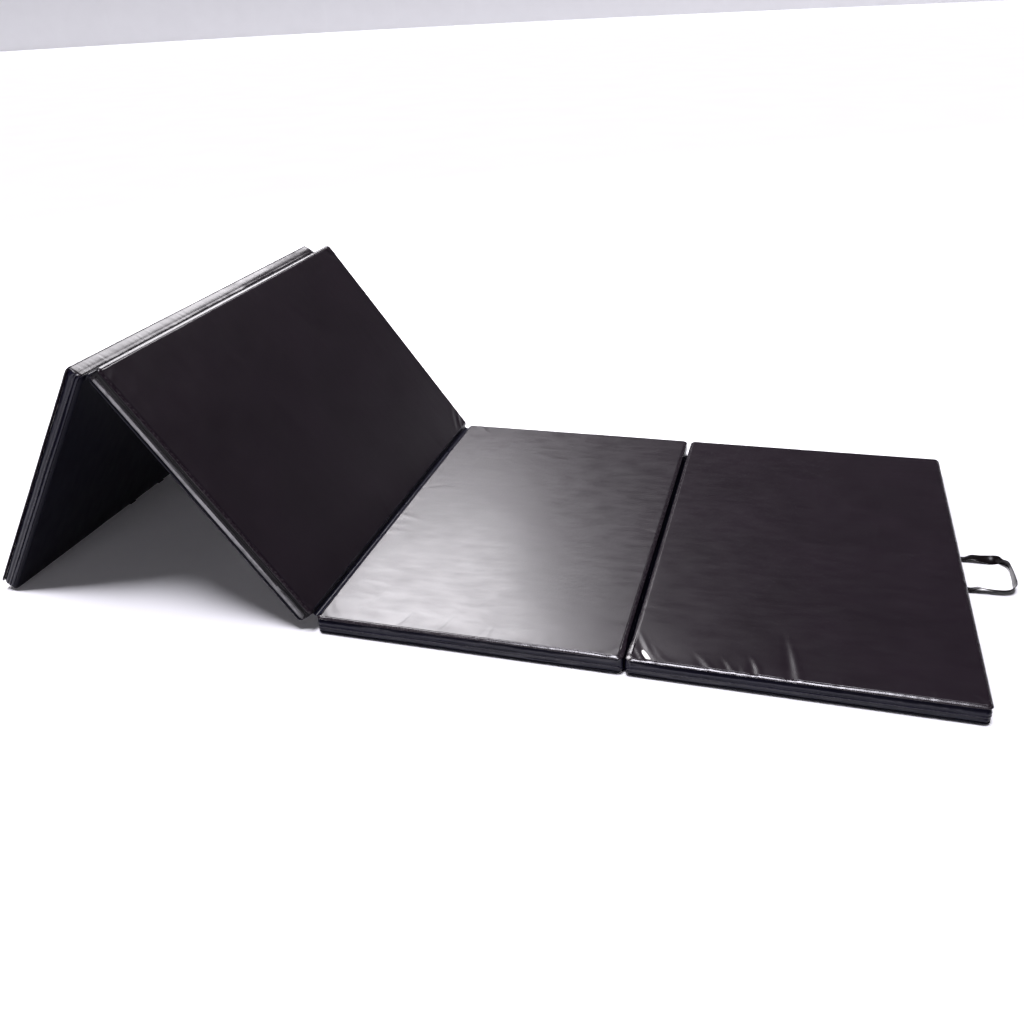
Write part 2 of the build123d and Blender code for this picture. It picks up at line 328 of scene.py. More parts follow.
def thicken(piece, thickness):
    """Gives a sheet its thickness in millimetres, half of it on each side."""
    solidify = piece.modifiers.new("thickness", "SOLIDIFY")
    solidify.thickness = thickness * MM
    solidify.offset = 0


def soften_edges(piece, width, segments):
    bevel = piece.modifiers.new("edges", "BEVEL")
    bevel.width = width * MM
    bevel.segments = segments
    bevel.limit_method = "ANGLE"


def arc(start, end, steps):
    """A quarter of an ellipse between two (inset, height) points of a cover's roll."""
    t = np.linspace(0, math.pi / 2, steps + 1)[1:]
    inset = start[0] + (end[0] - start[0]) * np.sin(t)
    height = start[1] + (end[1] - start[1]) * (1 - np.cos(t))
    return list(zip(inset, height))


# the top cover's rolled edge: distance in from the side, and drop below the edge of the field
ROLL_STEPS = [
    (8.4, 0.45), (7.9, 0.55), (7.4, 0.4), (6.6, 0.55), (5.6, 1.0), (4.6, 1.55), (3.6, 2.1), (2.6, 2.7),
    (1.7, 3.3), (0.9, 4.0), (0.3, 4.7), (0.0, 5.2),
]


def squeeze(number, u, v):
    """How far the two flat panels' facing ends bulge into the gap between them, at its near end."""
    end = {1: -1, 2: 1}.get(number)
    if end is None:
        return 0 * u
    facing = step_up(u * end, HALF_L - 14, HALF_L - 4)
    near = step_up(-v, HALF_W - 95, HALF_W - 30)
    crumple = 0.6 * lattice(v / 5 + 300, 0 * v + number, 31)
    return facing * near * (3.6 + crumple)


def plainness(number, out_u):
    """1 along the ends that a hinge joins, which have no lapped seam, and 0 elsewhere."""
    hinged = {1: (-1,), 2: (-1, 1), 3: (-1, 1), 4: (1,)}[number]
    return sum(step_up(out_u * end, 0.55, 0.95) for end in hinged)


def cover(number, side, material, edge_material=None):
    """The top or bottom cover: a crowned field, a rolled edge, and a hem tucked in at the seam."""
    fine, coarse = (1.9, 4.0) if side == "top" else (2.6, 9.0)
    u, v, rim, quads = rounded_grid(ROLL, fine, coarse, CORNER - ROLL)
    out_u, out_v = outward(u[rim], v[rim])
    edge_height = THICKNESS - TOP_DROP if side == "top" else 0.25
    seam = SEAM_TOP if side == "top" else SEAM_BOTTOM
    down = 1 if side == "top" else -1
    if side == "top":
        roll = [(x, edge_height - drop) for x, drop in ROLL_STEPS]
    else:
        roll = arc((ROLL, edge_height), (0.0, seam + 1.7 * down), 9)
    roll += [(0.5, seam + 0.8 * down), (2.0, seam + 0.2 * down), (8.5, seam)]
    inset = np.array([ROLL] + [p[0] for p in roll])
    level = np.array([edge_height] + [p[1] for p in roll])
    travel = np.concatenate([[0], np.cumsum(np.hypot(np.diff(inset), np.diff(level)))])
    flat_l, flat_w = HALF_L - ROLL + travel[-1], HALF_W - ROLL + travel[-1]

    # the field
    crown = (1 - (np.abs(u) / HALF_L) ** 7) * (1 - (np.abs(v) / HALF_W) ** 9)
    rise = cover_height(number, side, u, v, flat_l, flat_w)
    if side == "top":
        z = edge_height + (TOP_DROP - 0.75) * crown + rise
        z = THICKNESS - np.logaddexp(0, (THICKNESS - z - 0.1) * 3) / 3
    else:
        z = edge_height + 0.25 * crown - 0.35 * np.clip(rise, -1.5, 0)
        z = np.maximum(z, 0.12)
    field = rows_of(u, v, z)

    # the roll
    base_u, base_v = u[rim] + ROLL * out_u, v[rim] + ROLL * out_v
    s = loop_distance(base_u, base_v)
    slope_in = np.gradient(inset)
    slope_up = np.gradient(level)
    size = np.hypot(slope_in, slope_up)
    rings, flats = [], []
    plain = plainness(number, out_u)
    wander = seam_wander(s, number, BOTTOM_SEAM if side == "bottom" else TOP_SEAM)
    for r in range(1, len(inset)):
        fu, fv = u[rim] + travel[r] * out_u, v[rim] + travel[r] * out_v
        rise = cover_height(number, side, fu, fv, flat_l, flat_w)
        rise *= 1 - 0.5 * step_up(travel[r], 1, 5)
        rise *= 1 - 0.6 * step_up(travel[r], travel[-1] - 6, travel[-1] - 1)
        bulge = squeeze(number, base_u, base_v) * step_up(travel[r], 3, 9) * (side == "top")
        if side == "bottom":
            rise *= 0.5
        side_part = -slope_up[r] / size[r] * down
        up_part = -slope_in[r] / size[r] * down
        tuck = inset[r] * (r > len(inset) - 4)
        hollow = pinch(number, base_v, level[r]) * (1 - plain) * (side == "bottom")
        stands = np.clip(rise, -1.6, 1.1)
        reach = -inset[r] + 0.9 * tuck * plain - hollow + stands * side_part + bulge
        tall = level[r] + stands * up_part
        tall = tall + wander * step_up(travel[r], 2, travel[-1] - 2) * (1 - 0.8 * plain)
        if side == "bottom":
            tall = np.maximum(tall, 0.15)
        rings.append(rows_of(base_u + reach * out_u, base_v + reach * out_v, tall))
        flats.append(rows_of(fu, fv))

    count, first = len(rim), len(u)
    bridge = bridge_faces(rim, first + np.arange(count))
    faces = np.concatenate([quads, bridge, ring_faces(first, count, len(rings))])
    if side == "bottom":
        faces = faces[:, ::-1]
    points = np.concatenate([field] + rings)
    flat = np.concatenate([rows_of(u, v)] + flats) * MM
    # the top roll is rubbed most round its seventh ring and made lighter there, partly by use and partly as
    # a painted sheen where the roll catches the light
    wear_and_sheen = np.zeros(len(points))
    if side == "top":
        uneven = 0.8 + 0.2 * lattice(s / 45, 0 * s, number)
        wear_and_sheen[first:] = np.concatenate([math.exp(-(((r - 6) / 3) ** 2)) * uneven for r in range(len(rings))])
    piece = mesh_piece(
        f"panel_{number}_{side}_cover", placed(number, points), faces, flat[faces.ravel()], material, wear_and_sheen
    )
    if edge_material is not None:
        piece.data.materials.append(edge_material)
        ring = np.zeros(len(faces), np.int32)
        ring[len(quads) + 2 * count :] = 1
        piece.data.polygons.foreach_set("material_index", ring)
    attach(piece, f"panel_{number}")
    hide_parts(f"panel_{number}_{side}_sheet")


def loop_distance(u, v):
    """Distance round the panel at each rim point, scaled to the true perimeter."""
    gap = np.hypot(np.diff(u, append=u[0]), np.diff(v, append=v[0]))
    s = np.concatenate([[0], np.cumsum(gap)[:-1]])
    return s / gap.sum() * PERIMETER


def rim_points():
    """The panel's outline, from the middle of its near left corner."""
    u, v, rim, _ = rounded_grid(0, 1.7, 2.8, CORNER)
    return u[rim], v[rim]


def in_zip_opening(u, v, height):
    """1 where a band is cut away for the zip, 0 elsewhere."""
    along = step_up(ZIP_HALF + 3 - np.abs(u), 0, 4)
    up = step_up(ZIP_TAPE + 1.2 - np.abs(height - ZIP_MIDDLE), 0, 2.2)
    return along * up * (v > HALF_W - 5)


# how deep each panel's near side is pinched along the lapped seam
PINCHES = {1: 0.8, 2: 1.2, 3: 7.5, 4: 0.6}
# the bands' profiles from top to bottom: distance in from the side, and height
UPPER_BAND = [
    (8.2, 42.0), (7.8, 41.2), (6.8, 39.9), (5.6, 38.4), (4.3, 36.9), (3.1, 35.4), (2.0, 34.0),
    (1.1, 32.6), (0.5, 31.0), (0.3, 29.4), (0.6, 27.9), (1.2, 26.7), (1.9, 25.5), (1.2, 24.4),
    (0.0, 23.3), (-0.6, 22.3), (-0.9, 21.2), (-0.7, 20.2), (0.0, 19.5), (1.3, 19.2), (2.8, 19.7),
]
LOWER_BAND = [
    (3.2, 21.6), (2.7, 20.0), (2.2, 18.6), (1.5, 16.9), (0.8, 15.1), (0.3, 13.4), (0.2, 11.9),
    (0.6, 10.7), (1.5, 9.9), (2.8, 9.4), (4.2, 9.2),
]


def pinch(number, v, level):
    """A long hollow along the near side, deepest at the lapped seam's stitches."""
    near = step_up(-v, HALF_W - 26, HALF_W - 8)
    rise = np.clip((level - 2) / 22.6, 0, 1)
    fall = 1 - step_up(level, 26, 43)
    return PINCHES[number] * near * rise * fall


def band(number, side, profile, material, end_material=None):
    """One of the two side bands, with its lapped edge, gathers and wandering seams."""
    base_u, base_v = rim_points()
    out_u, out_v = outward(base_u, base_v)
    s = loop_distance(base_u, base_v)
    seed = 900 + 20 * number + (10 if side == "lower" else 0)
    top_wander = seam_wander(s, number, TOP_SEAM)
    lap_wander = seam_wander(s, number, LAP_SEAM) * LAP_STRAY
    low_wander = seam_wander(s, number, BOTTOM_SEAM)
    turns = s / PERIMETER
    plain = plainness(number, out_u)
    low, high = profile[-1][1], profile[0][1]
    points, wear_and_sheen = [], []
    for inset, level in profile:
        share = min(1, max(0, (level - low) / (high - low)))
        if side == "upper":
            wander = top_wander * share + lap_wander * (1 - share)
        else:
            wander = lap_wander * share + low_wander * (1 - share)
        fullness = math.sin(math.pi * min(1, max(0, share)))
        fine = lattice(turns * 410, 0 * s + level / 16, seed, 410)
        wide = lattice(turns * 46, 0 * s + level / 40, seed + 1, 46)
        gather = lattice(turns * 230 + 0.5, 0 * s + level / 9, seed + 2, 230)
        sag = lattice(turns * 27, 0 * s + level / 5.5, seed + 3, 27)
        rise = 0.22 * fine * (0.35 + 0.65 * fullness) + 0.6 * wide * fullness + 0.3 * gather + sag
        across = lattice(turns * 520, 0 * s + 0.5, seed + 4, 520)
        slack = lattice(turns * 61, 0 * s + 0.5, seed + 5, 61)
        if side == "upper":
            smooth = (0.42 * across + 0.6 * slack + 0.6) * fullness
        else:
            smooth = -0.5
        rise = rise * (1 - plain) + smooth * plain + squeeze(number, base_u, base_v)
        hole = in_zip_opening(base_u, base_v, level + wander)
        hollow = pinch(number, base_v, level) * (1 - plain)
        drawn = np.clip(hollow / 5, 0, 0.8)
        reach = -inset * (1 - 0.9 * plain) * (1 - drawn) - hollow + rise * (1 - hole) - 2.4 * hole
        if side == "upper":
            strip_level = high - (high - level) * (high - PLAIN_SPLIT) / (high - low)
        else:
            strip_level = low + (level - low) * 0.3
        tall = level * (1 - plain) + strip_level * plain + wander * (1 - 0.8 * plain)
        points.append(rows_of(base_u + reach * out_u, base_v + reach * out_v, tall))
        # the lap's folded edge is rubbed and made lighter, partly by use and partly as a painted sheen
        edge = math.exp(-(((level - 21) / 1.6) ** 2)) if side == "upper" else 0.0
        wear_and_sheen.append(edge + 0 * s)
    count, rows = len(s), len(profile)
    faces = ring_faces(0, count, rows)
    ends = np.concatenate([s, [PERIMETER]]) * MM
    travel = np.cumsum([0] + [math.dist(a, b) for a, b in zip(profile, profile[1:])]) * MM
    left, right = ends[:-1], ends[1:]
    uv = []
    for above, below in zip(travel, travel[1:]):
        corner = [(left, above), (left, below), (right, below), (right, above)]
        uv.append(np.stack([rows_of(x, 0 * x - y) for x, y in corner], axis=1))
    piece = mesh_piece(
        f"panel_{number}_{side}_band",
        placed(number, np.concatenate(points)),
        faces,
        np.concatenate(uv).reshape(-1, 2),
        material,
        np.concatenate(wear_and_sheen),
    )
    if end_material is not None:
        piece.data.materials.append(end_material)
        at_end = ((plain + np.roll(plain, -1)) / 2 > 0.5).astype(np.int32)
        piece.data.polygons.foreach_set("material_index", np.tile(at_end, rows - 1))
    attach(piece, f"panel_{number}")
    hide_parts(f"panel_{number}_{side}_side_band")


STITCH_PITCH = 5.0


def stitches(name, number, centres, along, out, length, radius, material):
    """Short rounded threads lying on a seam, each a small six-sided lozenge."""
    ring = [(math.cos(t), math.sin(t)) for t in np.arange(6) * math.pi / 3]
    across = np.cross(along, out)
    # share of the length, share of the radius, lift
    stations = [
        (-0.5, 0.25, -0.5), (-0.32, 0.85, 0.1), (0, 1.0, 0.35), (0.32, 0.85, 0.1), (0.5, 0.25, -0.5),
    ]
    n = len(centres)
    points = []
    for shift, size, lift in stations:
        for c, d in ring:
            offset = along * (shift * length) + out * (radius * (lift + size * d))
            points.append(centres + offset + across * (radius * size * c))
    points = np.stack(points, axis=1)
    quads = [
        (6 * r + k, 6 * (r + 1) + k, 6 * (r + 1) + (k + 1) % 6, 6 * r + (k + 1) % 6)
        for r in range(len(stations) - 1)
        for k in range(6)
    ]
    per = points.shape[1]
    faces = (np.array(quads)[None] + per * np.arange(n)[:, None, None]).reshape(-1, 4).tolist()
    last = 6 * (len(stations) - 1)
    for m in range(n):
        faces.append([per * m + k for k in range(6)])
        faces.append([per * m + last + 5 - k for k in range(6)])
    flat = points.reshape(-1, 3)
    uv = flat[np.concatenate(faces)][:, :2] * MM
    piece = mesh_piece(name, placed(number, flat), faces, uv, material)
    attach(piece, f"panel_{number}")


def lap_stitching(number, material):
    """The row of stitches that closes the lapped seam, left out where the zip is."""
    base_u, base_v = rim_points()
    s = loop_distance(base_u, base_v)
    at = np.arange(0, PERIMETER - STITCH_PITCH / 2, STITCH_PITCH)
    closed = np.concatenate([s, [PERIMETER]])
    u = np.interp(at, closed, np.append(base_u, base_u[0]))
    v = np.interp(at, closed, np.append(base_v, base_v[0]))
    out_u, out_v = outward(u, v)
    wander = seam_wander(at, number, LAP_SEAM) * LAP_STRAY * 0.74 + seam_wander(at, number, TOP_SEAM) * 0.26
    keep = ~((v > HALF_W - 5) & (np.abs(u) < ZIP_HALF + 6)) & (plainness(number, out_u) < 0.2)
    sunk = 1.15 + pinch(number, v, STITCH_LINE)
    centres = rows_of(u - sunk * out_u, v - sunk * out_v, STITCH_LINE + wander)[keep]
    out = rows_of(out_u, out_v, 0 * u)[keep]
    along = rows_of(-out_v, out_u, 0 * u)[keep]
    stitches(f"panel_{number}_lap_stitching", number, centres, along, out, 3.7, 0.42, material)


def foam(number, material):
    """The foam slab inside the covers."""
    inset, rounding = 9.0, 6.0
    low, high = 3.5, THICKNESS - 4.5
    u, v, rim, quads = rounded_grid(inset + rounding, 6, 40, 2.0)
    out_u, out_v = outward(u[rim], v[rim])
    count, cells = len(rim), len(u)
    edge = [(2.5, 0.6), (5.2, 3), (rounding, 7)]
    profile = [(d, high - z) for d, z in edge] + [(d, low + z) for d, z in edge[::-1]]
    rings = [
        rows_of(u[rim] + d * out_u, v[rim] + d * out_v, 0 * out_u + z) for d, z in profile
    ]
    top = rows_of(u, v, high + 0.4 * lattice(u / 90 + 9, v / 90 + 9, number))
    bottom = rows_of(u, v, 0 * u + low)
    ring = np.arange(count)
    floor_first = cells + len(rings) * count
    bridge = bridge_faces(rim, cells + ring)
    under = bridge_faces(floor_first - count + ring, floor_first + rim)
    faces = np.concatenate(
        [quads, bridge, ring_faces(cells, count, len(rings)), under, quads[:, ::-1] + floor_first]
    )
    points = np.concatenate([top] + rings + [bottom])
    uv = points[faces.ravel()][:, :2] * MM
    piece = mesh_piece(f"panel_{number}_foam", placed(number, points), faces, uv, material)
    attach(piece, f"panel_{number}")
    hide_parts(f"panel_{number}_foam_core")


# ---- zips
def zip_tapes(number, material):
    """The two tapes, one above the teeth and one below."""
    rows, columns = 8, 214
    across, along = np.meshgrid(np.linspace(0, 1, rows), np.linspace(0, 1, columns), indexing="ij")
    across, along = across.ravel(), along.ravel()
    x = (along * 2 - 1) * (ZIP_HALF - 0.5)
    away = 1.5 + across * (ZIP_TAPE - 1.2)
    tuck = 1.4 * step_up(across, 0.8, 1) + 0.5 * step_up(np.abs(x), ZIP_HALF - 6, ZIP_HALF)
    faces = grid_faces(rows, columns)
    uv = rows_of(x, away)[faces.ravel()] * MM
    for sign, half_name in ((1, "upper"), (-1, "lower")):
        wave = 0.12 * lattice(x / 22 + 99, across * 2 + 9, 40 + number + sign)
        y = HALF_W - 0.35 - tuck + wave - 0.35 * (1 - across)
        points = placed(number, rows_of(x, y, ZIP_MIDDLE + sign * away))
        half = mesh_piece(f"panel_{number}_zip_tape_{half_name}", points, faces, uv, material)
        if sign < 0:
            half.data.flip_normals()
        thicken(half, 0.7)
        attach(half, f"panel_{number}")
    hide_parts(f"panel_{number}_zip_tape")


def tape_stitching(number, material):
    """Rows of stitches that hold the tapes to the bands."""
    x = np.arange(-ZIP_HALF + 8, ZIP_HALF - 6, STITCH_PITCH)
    centres, along, out = [], [], []
    for away, sunk in ((10.4, 0.30), (7.6, 0.36)):
        for sign in (1, -1):
            y = 0 * x + HALF_W - sunk
            centres.append(rows_of(x, y, 0 * x + ZIP_MIDDLE + sign * away))
            along.append(np.tile([1.0, 0, 0], (len(x), 1)))
            out.append(np.tile([0, 1.0, 0], (len(x), 1)))
    centres, along, out = (np.concatenate(part) for part in (centres, along, out))
    stitches(f"panel_{number}_zip_stitching", number, centres, along, out, 3.6, 0.32, material)


def zip_teeth(number, material):
    """Interlocked coil teeth, with a block stop at each end."""
    pitch = 1.7
    x = np.arange(-ZIP_HALF + 6.5, ZIP_HALF - 6, pitch)
    shape = np.array(
        [(-0.55, -2.0, 0), (0.55, -2.0, 0), (0.62, 0.9, 0), (-0.62, 0.9, 0),
         (-0.4, -1.7, 1.25), (0.4, -1.7, 1.25), (0.45, 0.5, 1.25), (-0.45, 0.5, 1.25)]
    )
    box_faces = [(4, 5, 6, 7), (0, 3, 2, 1), (0, 1, 5, 4), (1, 2, 6, 5), (2, 3, 7, 6), (3, 0, 4, 7)]
    points, faces = [], []
    for sign in (1, -1):
        for m, centre in enumerate(x):
            base = len(points) * 8
            tooth = shape.copy()
            tooth[:, 1] *= sign
            tooth[:, 0] += centre + (pitch / 2 if sign < 0 else 0)
            y = HALF_W - 0.45 + tooth[:, 2]
            points.append(rows_of(tooth[:, 0], y, ZIP_MIDDLE + tooth[:, 1] * 0.8))
            order = box_faces if sign < 0 else [f[::-1] for f in box_faces]
            faces += [tuple(base + i for i in f) for f in order]
    for end in (-1, 1):
        base = len(points) * 8
        stop = shape * (3.6, 1.05, 1.1)
        stop[:, 1] += 0.5
        x = stop[:, 0] + end * (ZIP_HALF - 2.6)
        points.append(rows_of(x, HALF_W - 0.4 + stop[:, 2], ZIP_MIDDLE + stop[:, 1]))
        faces += [tuple(base + i for i in f[::-1]) for f in box_faces]
    points = np.concatenate(points)
    uv = points[np.concatenate(faces)][:, ::2] * MM
    piece = mesh_piece(f"panel_{number}_zip_teeth", placed(number, points), faces, uv, material)
    soften_edges(piece, 0.15, 1)
    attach(piece, f"panel_{number}")
    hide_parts(f"panel_{number}_zip_chain")


def zip_metal_parts(number, material):
    """The slider and pull keep their CAD shape, with softened edges."""
    for name in (f"panel_{number}_zip_slider", f"panel_{number}_zip_pull"):
        node = frame["nodes"][name]
        node.data.materials.clear()
        node.data.materials.append(material)
        soften_edges(node, 0.22, 2)


# ---- hinges and handles
def hinge_web(panel_a, direction, panel_b, side, material):
    """The strip of cover vinyl sewn across a fold, from one panel's roll to the next one's.

    It joins panel_a's end in this direction, 1 or -1, to panel_b's facing end.
    """
    axis = np.array(joints[f"panel_{panel_b}_fold"]["pos_m"])
    # distance out from the panel's end, and height
    if side == "bottom":
        stations = [(-ROLL - 2, 0.45), (-6, 0.5), (-1, 0.55), (2.0, 0.5)]
        dip = 0.6
    else:
        drops = [(-ROLL + 0.5, 1.25), (-7, 1.7), (-4, 3.2), (-1.6, 5.6), (0.4, 8.2)]
        stations = [(out, THICKNESS - drop) for out, drop in drops]
        dip = -9.5
    half_width = HALF_W - HINGE_INSET
    count = 260
    y = np.linspace(-half_width, half_width, count)
    rows = []
    for number, facing, order in ((panel_a, direction, 1), (panel_b, -direction, -1)):
        part = []
        for out, level in stations:
            wave = 0.35 * lattice(y / 30 + 99, 0 * y + out / 9 + 9, 600 + number) * step_up(out, -11, -5)
            lift = level + (wave if side == "top" else 0.3 * np.abs(wave))
            part.append(placed(number, rows_of(0 * y + facing * (HALF_L + out), y, lift)))
        rows.append(part if order > 0 else part[::-1])
    up_a = np.array(placements[panel_a].to_3x3().col[2])
    up_b = np.array(placements[panel_b].to_3x3().col[2])
    up = (up_a + up_b) / np.linalg.norm(up_a + up_b)
    wave = 0.4 * lattice(y / 24 + 99, 0 * y + 3, 640 + panel_a)[:, None]
    middle = axis * [1, 0, 1] + y[:, None] * MM * [0, 1, 0] + up * (dip + wave) * MM
    control = np.stack(rows[0] + [middle] + rows[1])
    # ease the strip's path through its stations
    steps = 26
    t = np.linspace(0, len(control) - 1, steps)
    points = np.empty((steps, count, 3))
    for m, x in enumerate(t):
        i = min(int(x), len(control) - 2)
        f = x - i
        p0, p1, p2, p3 = (control[min(max(i + o, 0), len(control) - 1)] for o in (-1, 0, 1, 2))
        square, cube = 2 * p0 - 5 * p1 + 4 * p2 - p3, 3 * p1 - p0 - 3 * p2 + p3
        points[m] = 0.5 * (2 * p1 + (p2 - p0) * f + square * f**2 + cube * f**3)
    if side == "bottom" and panel_a != 3:
        # the strip between two flat panels stays off the floor
        points[:, :, 2] = np.maximum(points[:, :, 2], 0.35 * MM)
    faces = grid_faces(steps, count)
    if direction < 0:
        faces = faces[:, ::-1]
    across = np.repeat(t * 4 * MM, count)
    uv = rows_of(across, np.tile(y * MM, steps))
    low, high = sorted((panel_a, panel_b))
    hinge = f"hinge_{low}{high}"
    piece = mesh_piece(f"{hinge}_web", points.reshape(-1, 3), faces, uv[faces.ravel()], material)
    thicken(piece, 0.6)
    nodes = [f"{hinge}_half_on_panel_{number}" for number in (low, high)]
    level = THICKNESS if side == "top" else 0.0
    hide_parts(*nodes)
    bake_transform(piece)


def handle(number, material):
    """A carry strap: sewn into the end seam, flat at first, then turned on edge round its loop."""
    joint = joints[f"handle_{number}_swing"]
    axis = Vector(joint["pos_m"]) / MM
    out = 1 if number == 1 else -1
    half_spacing = 76.0
    reach, bend = 124.5, 30.0
    leg_z, end_z = 8.6 - axis.z, 12.4 - axis.z
    # a leg's points: distance out, distance from the leg's line, height above the swing axis
    leg = [
        (-7, 0, 0), (-2, 0, 0), (6, 0, -0.4), (20, 0.3, -2.5),
        (38, 0.4, leg_z + 4.5), (58, 0.6, leg_z + 0.8), (80, 0.8, leg_z),
    ]
    # how far the strap is turned from flat, in degrees: the far corner (1) is turned over, and
    # the near one (-1) leans outwards
    leg_turns = {1: (0, 0, 4, 10, 6, -8, -26), -1: (0, 0, -2, -10, -24, -34, -37)}
    bend_turns = {1: (-52, -84, -112, -126, -124, -114, -102), -1: (-39, -43, -49, -57, -65, -73, -80)}
    halves = {}
    for hand in (1, -1):
        half_path = [
            (x, hand * (half_spacing + y), z, turn) for (x, y, z), turn in zip(leg, leg_turns[hand])
        ]
        for angle, turn in zip(np.linspace(0, 90, 7), bend_turns[hand]):
            a = math.radians(angle)
            x = reach - bend + bend * math.sin(a)
            y = half_spacing - bend + bend * math.cos(a)
            z = leg_z + (end_z - leg_z) * math.sin(a) ** 2
            half_path.append((x, hand * y, z, turn))
        halves[hand] = half_path
    path = np.array(halves[1] + [(reach + 1.2, 0, end_z, -90)] + halves[-1][::-1], float)
    # the path in even steps, smoothed
    gap = np.concatenate([[0], np.cumsum(np.linalg.norm(np.diff(path[:, :3], axis=0), axis=1))])
    steps = 220
    at = np.linspace(0, gap[-1], steps)
    line = rows_of(*(np.interp(at, gap, column) for column in path.T))
    spread = 7
    kernel = np.hanning(2 * spread + 1)
    kernel /= kernel.sum()
    line[spread:-spread] = rows_of(*(np.convolve(column, kernel, "valid") for column in line.T))
    centre = line[:, :3] * (out, 1, 1)
    tangent = np.gradient(centre, axis=0)
    tangent /= np.linalg.norm(tangent, axis=1, keepdims=True)
    level = np.cross(tangent, (0, 0, 1.0))
    level /= np.linalg.norm(level, axis=1, keepdims=True)
    up = np.cross(level, tangent)
    turn = np.radians(line[:, 3])[:, None]
    wide = level * np.cos(turn) + up * np.sin(turn)
    thick = np.cross(tangent, wide)
    # a flat strap with rounded, stitched edges
    half_wide, half_thick = 13.4, 0.95
    section = [
        (-1, 0), (-0.985, 0.6), (-0.93, 0.92), (-0.86, 0.8), (-0.8, 0.95), (-0.4, 1.0),
        (0, 1.03), (0.4, 1.0), (0.8, 0.95), (0.86, 0.8), (0.93, 0.92), (0.985, 0.6),
    ]
    section += [(-x, -y) for x, y in section]
    body = []
    wobble = lattice(at / 17 + 9, 0 * at, 70 + number)[:, None]
    for x, y in section:
        crease = 0.25 * lattice(at / 9 + 9, 0 * at + x * 2 + 9, 80 + number)[:, None]
        across = wide * (x * half_wide + 0.15 * wobble)
        body.append(centre + across + thick * (y * half_thick + crease * (1 - abs(x))))
    points = np.stack(body, axis=1).reshape(-1, 3)
    lowest = 0.4
    points[:, 2] = np.maximum(points[:, 2], lowest - axis.z)
    around = len(section)
    faces = ring_faces(0, around, steps)[:, [0, 3, 2, 1]]
    if out < 0:
        faces = faces[:, ::-1]
    faces = faces.tolist()
    caps = [list(range(around)), list(range((steps - 1) * around, steps * around))]
    faces += [caps[0][::-1], caps[1]] if out > 0 else [caps[0], caps[1][::-1]]
    over = [x * half_wide for x, _ in section]
    flat = rows_of(np.repeat(at, around), np.tile(over, steps)) * MM
    in_frame = (points + np.array(axis)) * MM
    piece = mesh_piece(f"handle_{number}_band", in_frame, faces, flat[np.concatenate(faces)], material)
    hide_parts(f"handle_{number}_strap", f"handle_{number}_anchor_tabs")
    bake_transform(piece)


# ---- materials
NOISE = "ShaderNodeTexNoise"
VORONOI = "ShaderNodeTexVoronoi"


def new_material(name):
    material = bpy.data.materials.new(name)
    material.use_nodes = True
    nodes = material.node_tree.nodes
    return material, nodes, nodes["Principled BSDF"]


def join(output, node, name):
    """Feeds a node's output to another node's input."""
    node.id_data.links.new(output, node.inputs[name])


def texture(nodes, vector, kind, scale, stretch=(1, 1, 1), detail=2.0):
    """A noise or Voronoi texture on stretched surface coordinates, in metres."""
    mapping = nodes.new("ShaderNodeMapping")
    mapping.inputs["Scale"].default_value = stretch
    join(vector, mapping, "Vector")
    node = nodes.new(kind)
    node.inputs["Scale"].default_value = scale
    if kind == NOISE:
        node.inputs["Detail"].default_value = detail
    join(mapping.outputs["Vector"], node, "Vector")
    return node.outputs[0]


def grey(value):
    return (value, value, value)


def ramp(nodes, value, start, end, low=0.3, high=0.7):
    """A colour that goes from start to end as a value goes from low to high."""
    node = nodes.new("ShaderNodeValToRGB")
    for element, at, colour in zip(node.color_ramp.elements, (low, high), (start, end)):
        element.position = at
        element.color = (*colour, 1)
    join(value, node, "Fac")
    return node.outputs["Color"]


def calculate(nodes, operation, *values):
    """A Math node's result; each value is a number or another node's output."""
    node = nodes.new("ShaderNodeMath")
    node.operation = operation
    for index, value in enumerate(values):
        if isinstance(value, float):
            node.inputs[index].default_value = value
        else:
            join(value, node, index)
    return node.outputs[0]


def toward(nodes, share, start, end):
    """A varying colour that moves toward a fixed one by a varying share."""
    node = nodes.new("ShaderNodeMix")
    node.data_type = "RGBA"
    join(share, node, "Factor")
    join(start, node, 6)
    node.inputs[7].default_value = (*end, 1)
    return node.outputs[2]


def bump(nodes, height, distance, strength, below=None):
    node = nodes.new("ShaderNodeBump")
    node.inputs["Distance"].default_value = distance
    node.inputs["Strength"].default_value = strength
    join(height, node, "Height")
    if below is not None:
        join(below, node, "Normal")
    return node.outputs["Normal"]


